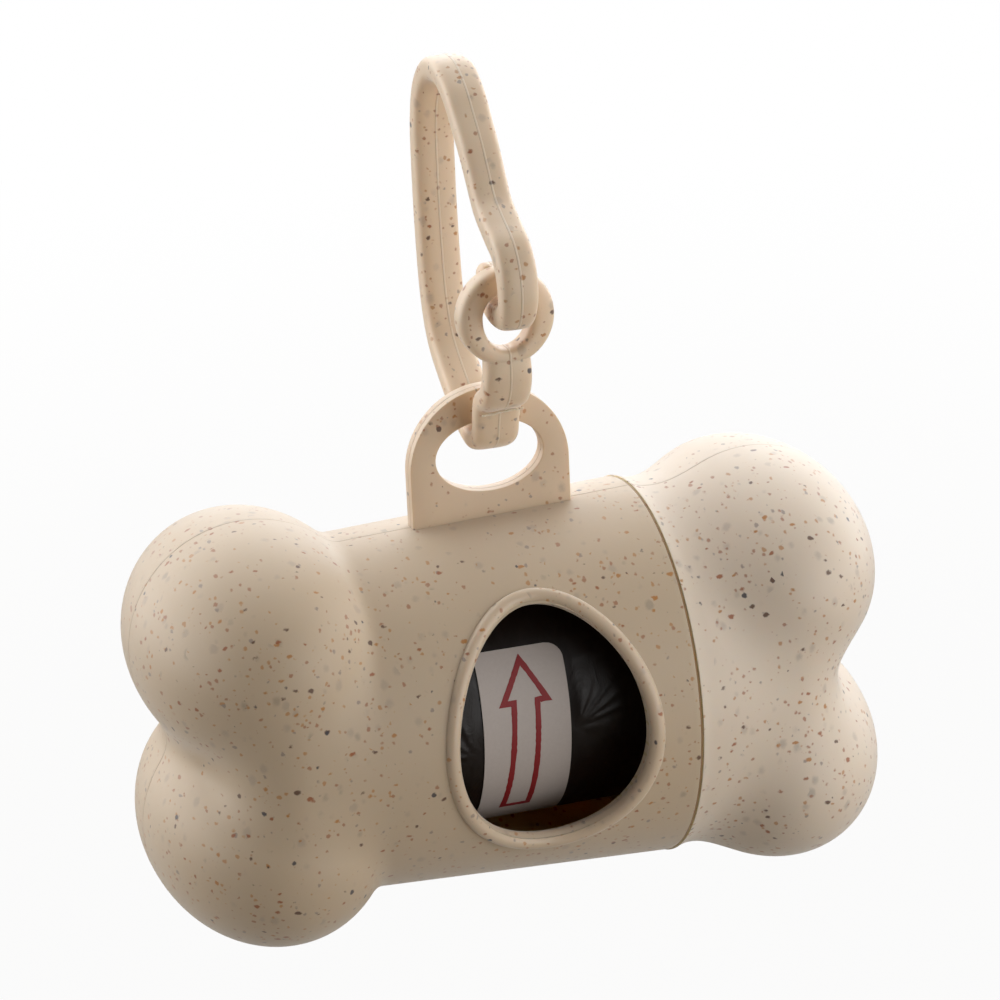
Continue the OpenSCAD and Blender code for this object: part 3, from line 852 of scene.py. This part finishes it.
def pegProfile(root, tip):
    way = 1 if tip > root else -1
    r, e = pegSizes["radius"], pegSizes["tip"]
    arc = [(tip - way * e * (1 - math.sin(t)), r - e * (1 - math.cos(t)))
           for t in (0, *quarterTurn)]
    return [(root, 0), (root, r)] + arc + [(tip, 0)]


# the body's edge shows in the seam as a thin band of plastic; its warm colour is painted light, for
# light coming through the plastic
lipProfile = [(-0.4, 16.6), (-0.4, 19.3), (0.12, 19.46), (0.2, 19.42), (0.2, 16.6)]
seat(revolve("seamLip", lipProfile, seamPlastic, around=192), "body", "shell")
bodyPegTip = rollSizes["from"] + pegSizes["grip"]
capPegTip = rollSizes["from"] + rollSizes["length"] - pegSizes["grip"]
bodyPeg = revolve("bodyPeg", pegProfile(endX + bone["wall"] / 2, bodyPegTip), shellPlastic)
capPeg = revolve("capPeg", pegProfile(capEndX - bone["wall"] / 2, capPegTip), shellPlastic)
seat(bodyPeg, "body", "shell")
seat(capPeg, "cap", "shell")
print("lugs and pegs made")

# roll of bags: wound film with creases that fan out beside the paper band
filmSizes = {
    "radius": 13.1, "bore": 4.8, "boreClear": 0.02, "endRings": (10.5, 7.6),
    "columns": 264, "around": 360, "seed": 11,
    "slow": (8.0, 13, 0.06), "quick": (3.4, 34, 0.03),  # cell along, cells round, height
    "spokes": 23, "fanReach": 7.5, "fanEye": 1.2,       # a fan's creases, reach and bare middle
    "bandEdge": 0.9, "bandPress": 0.03,                 # how the band presses the film down
    "endEdge": 0.8, "endRound": 0.5,
    # x in mm from the seam, degrees above the front, way that most creases take, height in mm
    "fans": ((-10.9, -1, 55, 0.3), (-21.6, -8, 150, 0.28), (-10.4, 150, 40, 0.3),
             (-21.2, 205, 160, 0.3), (-3.0, 70, 100, 0.3), (-34.0, 20, 80, 0.35)),
}
bandSizes = {
    "fromSeam": 16.0, "width": 9.1, "thick": 0.12, "clear": 0.01, "across": 13,
    "top": 38.0, "wrap": 170.0, "leftCorner": 0.4, "rightCorner": 1.7,  # degrees, corners in mm
}


def latticeNoise(u, v, seed, wrapV, wrapU=97):
    # smooth noise from 0 to 1 that repeats after wrapU and wrapV cells
    table = np.random.default_rng(seed).random((wrapU, wrapV))
    i, j = np.floor(u).astype(int), np.floor(v).astype(int)
    f, g = u - i, v - j
    f, g = f * f * (3 - 2 * f), g * g * (3 - 2 * g)
    rows = []
    for b in (j, j + 1):
        near, far = table[i % wrapU, b % wrapV], table[(i + 1) % wrapU, b % wrapV]
        rows.append(near * (1 - f) + far * f)
    return rows[0] * (1 - g) + rows[1] * g


def ridgeOf(noise, power):
    # 1 along the noise's middle value, falling off on both sides
    return (1 - np.abs(2 * noise - 1)) ** power


def makeFilm():
    s = filmSizes
    x0, length = rollSizes["from"], rollSizes["length"]
    xs = np.linspace(x0, x0 + length, s["columns"])
    turn = np.linspace(0, 2 * math.pi, s["around"], endpoint=False)
    along, angle = np.meshgrid(xs, turn, indexing="ij")
    # waves of the wound film, a little askew to its axis
    (slowCell, slowRound, slowHigh), (quickCell, quickRound, quickHigh) = s["slow"], s["quick"]
    round1, round2 = angle / (2 * math.pi) * slowRound, angle / (2 * math.pi) * quickRound
    slow = latticeNoise((along - x0) / slowCell, round1 + (along - x0) * 0.05, s["seed"], slowRound)
    quick = latticeNoise((along - x0) / quickCell, round2 - (along - x0) * 0.1,
                         s["seed"] + 1, quickRound)
    rise = slowHigh * slow + quickHigh * ridgeOf(quick, 2)
    for number, (fx, deg, way, high) in enumerate(s["fans"]):
        gap = (angle - math.radians(deg) + math.pi) % (2 * math.pi) - math.pi
        dx, dy = along - fx, gap * s["radius"]
        far = np.hypot(dx, dy)
        ray = np.arctan2(dy, dx)
        spoke = latticeNoise(np.full_like(far, 3.5 + number),
                             (ray / (2 * math.pi) + 0.5) * s["spokes"], s["seed"] + 5, s["spokes"])
        favour = 0.35 + 0.65 * np.clip(np.cos(ray - math.radians(way)), 0, 1) ** 2
        fade = np.exp(-(far / (s["fanReach"] * favour)) ** 2) * np.clip(far / s["fanEye"], 0, 1)
        rise += high * ridgeOf(spoke, 3) * favour * fade
    half, edge = bandSizes["width"] / 2, s["bandEdge"]
    under = np.clip((half + edge - np.abs(along + bandSizes["fromSeam"])) / edge, 0, 1)
    rise = rise * (1 - under) - s["bandPress"] * under
    ends = np.clip(np.minimum(along - x0, x0 + length - along) / s["endEdge"], 0, 1)
    r = s["radius"] + rise * ends - s["endRound"] * (1 - ends) ** 2
    grid = np.stack([along, -r * np.cos(angle), r * np.sin(angle)], -1)
    n, m = s["around"], s["columns"]
    endRings = (*s["endRings"], s["bore"] + s["boreClear"])
    points = [grid.reshape(-1, 3)]
    for x in (x0, x0 + length):
        for rr in endRings:
            points.append(np.stack([np.full(n, x), -rr * np.cos(turn), rr * np.sin(turn)], 1))
    j = np.arange(n)
    k = (j + 1) % n
    # the skin, then each end's rings down to the bore, then the bore from end to end
    strips = [(i * n, (i + 1) * n) for i in range(m - 1)]
    count = len(endRings)
    left = [0] + [(m + q) * n for q in range(count)]
    right = [(m - 1) * n] + [(m + count + q) * n for q in range(count)]
    strips += list(zip(left[:-1], left[1:])) + list(zip(right[:-1], right[1:]))
    strips.append((left[-1], right[-1]))
    faces = [f for a, b in strips for f in zip(a + j, a + k, b + k, b + j)]
    obj = outwards(meshObject("filmRoll", toRow(np.vstack(points)), faces, 50))
    return setMaterials(obj, film)


seat(makeFilm(), "roll", "film", "bag_roll")
print("film roll made")


def makeBand():
    s = bandSizes
    r0 = filmSizes["radius"]
    half, small, big = s["width"] / 2, s["leftCorner"], s["rightCorner"]
    # rows down the band, closer together where its top corners are rounded
    degrees = s["top"] - np.degrees(np.concatenate([
        np.linspace(0, small / r0, 5), np.linspace(small / r0, big / r0, 9)[1:],
        np.linspace(big / r0, math.radians(s["wrap"]), 120)[1:]]))
    rows = []
    for d in degrees:
        down = math.radians(s["top"] - d) * r0
        trims = [r - math.sqrt(max(0.0, r * r - max(0.0, r - down) ** 2)) for r in (small, big)]
        rows.append(np.linspace(-half + trims[0], half - trims[1], s["across"]))
    points, faces = [], []
    for r in (r0 + s["clear"], r0 + s["thick"]):
        for d, across in zip(np.radians(degrees), rows):
            points += [(a - s["fromSeam"], -r * math.cos(d), r * math.sin(d)) for a in across]
    n, m = s["across"], len(degrees)
    top = n * m
    for i in range(m - 1):
        for j in range(n - 1):
            a = i * n + j
            faces.append((a, a + 1, a + n + 1, a + n))
            faces.append((top + a, top + a + n, top + a + n + 1, top + a + 1))
        for a in (i * n, i * n + n - 1):
            faces.append((a, a + n, top + a + n, top + a))
    for j in range(n - 1):
        for a in (j, (m - 1) * n + j):
            faces.append((a, top + a, top + a + 1, a + 1))
    return setMaterials(outwards(meshObject("paperBand", toRow(points), faces, 40)), paper)


seat(makeBand(), "roll", "band", "paper_band")

# printed arrow: a plain outline, its corners x in mm from the seam and degrees above the front
arrowSizes = {
    "line": 0.6, "thick": 0.03, "lift": 0.004, "step": 0.35, "mitreLeast": 0.3,
    "spread": 0.035, "seed": 4,  # ink spreads a little unevenly
    "corners": ((-15.96, 32.4), (-13.7, 14.0), (-14.75, 14.0), (-15.3, -43.0), (-17.95, -43.0),
                (-17.2, 14.0), (-18.3, 14.0)),
}


def makeArrow():
    s = arrowSizes
    r = filmSizes["radius"] + bandSizes["thick"]
    flat = np.array([(x, math.radians(d) * r) for x, d in s["corners"]])
    points, sides, wides = [], [], []
    n = len(flat)
    for i in range(n):
        before, here, after = flat[i - 1], flat[i], flat[(i + 1) % n]
        way1 = (here - before) / np.linalg.norm(here - before)
        way2 = (after - here) / np.linalg.norm(after - here)
        left = np.array([-way1[1] - way2[1], way1[0] + way2[0]])
        left /= np.linalg.norm(left)
        mitre = 1 / max(s["mitreLeast"], left @ np.array([-way1[1], way1[0]]))
        points.append(here)
        sides.append(left)
        wides.append(mitre)
        run = np.linalg.norm(after - here)
        steps = max(2, int(run / s["step"]))
        for q in range(1, steps):
            points.append(here + way2 * run * q / steps)
            sides.append(np.array([-way2[1], way2[0]]))
            wides.append(1.0)
    points, sides = np.array(points), np.array(sides)
    a = points[:, 1] / r
    ring = np.stack([points[:, 0], -r * np.cos(a), r * np.sin(a)], 1)
    out = np.stack([np.zeros_like(a), -np.cos(a), np.sin(a)], 1)
    up = np.stack([np.zeros_like(a), np.sin(a), np.cos(a)], 1)
    side = sides[:, :1] * np.array([1.0, 0, 0]) + sides[:, 1:] * up
    edge = np.random.default_rng(s["seed"]).normal(0, s["spread"], len(a))
    wide, thick = np.array(wides) * (s["line"] + edge), np.full(len(a), s["thick"])
    return sweepPiece("bandArrow", ring + out * s["lift"], side, out, wide, thick, ink,
                      around=8, corner=0.3, closed=True, smoothAngle=30)


seat(makeArrow(), "roll", "band")
setMaterials(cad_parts["roll_core"], card)
print("band and arrow made")

# strap: down from the ring through the tab, up the back, over the top and down to the hook
strapSizes = {
    "middleX": -14.85, "barZ": 30.65, "steps": 8, "around": 40, "corner": 0.55,
    # y and z from the middle of the tab's bar, then width and thickness, all mm
    "route": (
        (-8, 7, 4.6, 2.8), (-8, 4.8, 4.8, 2.8), (-6.8, 2.7, 4.9, 2.6), (-4.5, 1.3, 4.8, 2.4),
        (-3.6, -0.6, 4.7, 2.3), (-3, -2.5, 4.6, 2.2), (-0.9, -3.6, 4.5, 2.2), (1.8, -3.2, 4.4, 2.3),
        (4.8, -1.5, 4.4, 2.7), (8.9, 1.2, 4.3, 2.9), (11.3, 3.4, 4.3, 3), (12.7, 6.2, 4.3, 3),
        (13.5, 10, 4.3, 3), (13.9, 16, 4.3, 3), (13.9, 21, 4.3, 3), (13.6, 25.5, 4.3, 2.9),
        (12.2, 29.4, 4.3, 2.7), (9.2, 32, 4.3, 2.6), (5.4, 32.4, 4.2, 2.6), (2.3, 30.9, 4.1, 2.6),
        (0, 28.6, 4, 2.7), (-2.2, 26.2, 3.9, 2.8), (-4.1, 23.6, 3.8, 2.8), (-5.9, 21.4, 3.8, 2.8),
        (-8.6, 19.7, 3.8, 2.9), (-11.1, 18.3, 3.8, 2.9), (-12.5, 16.2, 3.8, 2.9),
        (-12.6, 13.8, 3.7, 2.8), (-11.5, 12, 3.5, 2.7), (-9, 11.4, 3.3, 2.5),
        (-6.6, 11.7, 3.2, 2.4), (-5, 13.1, 3.2, 2.3), (-4.7, 14.8, 3, 2.2), (-4.7, 15.4, 2, 1.4),
    ),
}
ringSizes = {
    "y": -8.0, "z": 11.1, "outer": 4.9, "hole": 2.4, "drop": 0.8, "thick": 2.9, "corner": 0.62,
}


def makeStrap():
    s = strapSizes
    rows = catmullRom(s["route"], s["steps"])
    ahead = np.gradient(rows[:, :2], axis=0)
    ahead /= np.linalg.norm(ahead, axis=1)[:, None]
    out = np.stack([np.zeros(len(rows)), ahead[:, 1], -ahead[:, 0]], 1)
    points = np.stack([np.full(len(rows), s["middleX"]), rows[:, 0], rows[:, 1] + s["barZ"]], 1)
    side = np.tile([1.0, 0, 0], (len(rows), 1))
    wide, thick = rows[:, 2], rows[:, 3]
    # both ends close to a point so that the skin has no hole
    points = np.vstack([points[:1], points, points[-1:]])
    out = np.vstack([out[:1], out, out[-1:]])
    side = np.vstack([side[:1], side, side[-1:]])
    wide, thick = np.pad(wide, 1), np.pad(thick, 1)
    return sweepPiece("strapLoop", points, side, out, wide, thick, strapPlastic,
                      around=s["around"], corner=s["corner"], smoothAngle=60)


def makeStrapRing():
    s = ringSizes
    a = np.linspace(0, 2 * math.pi, 120, endpoint=False)
    # the hole is drawn out downwards, so the ring is thinner at its foot
    drop = s["drop"] * np.clip(-np.sin(a), 0, 1) ** 0.7
    hole = np.stack([s["hole"] * np.cos(a), s["hole"] * np.sin(a) - drop], 1)
    rim = s["outer"] * np.stack([np.cos(a), np.sin(a)], 1)
    middle, wide = (hole + rim) / 2, np.linalg.norm(rim - hole, axis=1)
    away = (rim - hole) / wide[:, None]
    points = np.stack([middle[:, 0] + strapSizes["middleX"], np.full(len(a), s["y"]),
                       middle[:, 1] + s["z"] + strapSizes["barZ"]], 1)
    side = np.stack([away[:, 0], np.zeros(len(a)), away[:, 1]], 1)
    out = np.tile([0, -1.0, 0], (len(a), 1))
    thick = np.full(len(a), s["thick"])
    return sweepPiece("strapRing", points, side, out, wide, thick, strapPlastic,
                      around=32, corner=s["corner"], closed=True, smoothAngle=60)


strap = makeStrap()
seat(strap, "strap", "strap", "strap_clip")
seat(makeStrapRing(), "strap", "strap")
print("strap made:", len(strap.data.polygons), "faces")

# flash: a ragged pale ridge where the mould closed across the strap's foot
flashSizes = {
    "z": 31.05, "y": -5.85, "left": -17.0, "right": -12.6, "rise": 0.25, "thick": 0.2,
    "points": 40, "jag": 0.015, "deeper": 1.4, "jagSeed": 9, "widthSeed": 3,
}


def makeFlash():
    s = flashSizes
    x = np.linspace(s["left"], s["right"], s["points"])
    jag = np.random.default_rng(s["jagSeed"]).normal(0, s["jag"], len(x)).cumsum()
    t = (x - s["left"]) / (s["right"] - s["left"])
    z = s["z"] + s["rise"] * t + jag - jag.mean()
    points = np.stack([x, np.full(len(x), s["y"]), z], 1)
    wide = s["thick"] * (0.7 + 0.6 * np.random.default_rng(s["widthSeed"]).random(len(x)))
    wide[0] = wide[-1] = 0
    side, out = np.tile([0, 0, 1.0], (len(x), 1)), np.tile([0, -1.0, 0], (len(x), 1))
    return sweepPiece("strapFlash", points, side, out, wide, wide * s["deeper"], flashPlastic,
                      around=8)


seat(makeFlash(), "strap", "strap")
print("flash made")


# floor, sky, lamps and camera
def makeFloor():
    s = studio
    lowest, far = cadBox[0][2] - s["floorDrop"], s["floorRadius"]
    a = np.linspace(0, 2 * math.pi, 96, endpoint=False)
    points = [(far * math.cos(t), far * math.sin(t), lowest) for t in a]
    floor = meshObject("floor", points, [tuple(range(len(points)))])
    m, tree = newMaterial("white paper sweep")
    # matt for the light; white for the camera, all but a little that shows the shadow nearby,
    # and clear from below
    light = addNode(tree, "ShaderNodeLightPath").outputs
    where = addNode(tree, "ShaderNodeNewGeometry").outputs
    away = addNode(tree, "ShaderNodeVectorMath", {0: where["Position"]}, operation="LENGTH")
    fade = remap(tree, away.outputs["Value"], s["whiteFrom"], s["whiteTo"],
                 s["whiteNear"], 1.0, smooth=True)
    share = calc(tree, "MULTIPLY", light["Is Camera Ray"], fade)
    matt = addNode(tree, "ShaderNodeBsdfDiffuse", {"Color": s["floorTint"]})
    white = addNode(tree, "ShaderNodeEmission", {"Color": (1, 1, 1, 1), "Strength": 1.0})
    top = addNode(tree, "ShaderNodeMixShader", {0: share, 1: matt, 2: white})
    below = calc(tree, "MULTIPLY", light["Is Camera Ray"], where["Backfacing"])
    clear = addNode(tree, "ShaderNodeBsdfTransparent")
    both = addNode(tree, "ShaderNodeMixShader", {0: below, 1: top, 2: clear})
    addNode(tree, "ShaderNodeOutputMaterial", {"Surface": both})
    setMaterials(floor, m)


def makeSky():
    world = bpy.data.worlds.new("softbox sky")
    bpy.context.scene.world = world
    world.use_nodes = True
    tree = world.node_tree
    tree.nodes.clear()
    light = addNode(tree, "ShaderNodeLightPath").outputs
    # the tent is white behind and beside the part and dark where the camera stands
    way = addNode(tree, "ShaderNodeTexCoord").outputs["Generated"]
    way = addNode(tree, "ShaderNodeSeparateXYZ", {0: way}).outputs["Y"]
    dark, bright = studio["tentFade"]
    tent = remap(tree, way, dark, bright, studio["tentFront"], 1.0, smooth=True)
    mirrored = calc(tree, "MAXIMUM", light["Is Glossy Ray"], light["Is Transmission Ray"])
    level = remap(tree, mirrored, 0.0, 1.0, studio["skyOnObject"], 1.0)
    level = calc(tree, "MULTIPLY", level, tent)
    level = calc(tree, "MAXIMUM", level, light["Is Camera Ray"])
    back = addNode(tree, "ShaderNodeBackground", {"Color": (1, 1, 1, 1), "Strength": level})
    addNode(tree, "ShaderNodeOutputWorld", {"Surface": back})


def makeLamps():
    middle = np.array(studio["lampAim"])
    for name, (turn, up, away, side, watts) in studio["lamps"].items():
        lamp = bpy.data.lights.new(name, "AREA")
        lamp.shape, lamp.size, lamp.energy = "SQUARE", side, watts
        obj = bpy.data.objects.new(name, lamp)
        obj.visible_camera = False
        bpy.context.scene.collection.objects.link(obj)
        turn, up = math.radians(turn), math.radians(up)
        z = np.array([math.sin(turn) * math.cos(up), -math.cos(turn) * math.cos(up), math.sin(up)])
        x = np.cross([0, 0, 1.0], z)
        x /= np.linalg.norm(x)
        place = middle + away * z
        turned = np.column_stack([x, np.cross(z, x), z, place])
        obj.matrix_world = Matrix(np.vstack([turned, [0, 0, 0, 1]]).tolist())


def makeCamera():
    s = studio
    lens = bpy.data.cameras.new("camera")
    lens.lens, lens.sensor_width = s["lens"], s["sensor"]
    lens.clip_start, lens.clip_end = s["clip"]
    camera = bpy.data.objects.new("camera", lens)
    bpy.context.scene.collection.objects.link(camera)
    right, up = np.array(s["cameraRight"]), np.array(s["cameraUp"])
    right = right / np.linalg.norm(right)
    up = up - right * (up @ right)
    up /= np.linalg.norm(up)
    turned = np.column_stack([right, up, np.cross(right, up), s["cameraPlace"]])
    camera.matrix_world = Matrix(np.vstack([turned, [0, 0, 0, 1]]).tolist())
    bpy.context.scene.camera = camera


makeFloor()
makeSky()
makeLamps()
makeCamera()
bpy.context.scene.view_settings.view_transform = "Standard"
print("floor, sky, lamps and camera made")
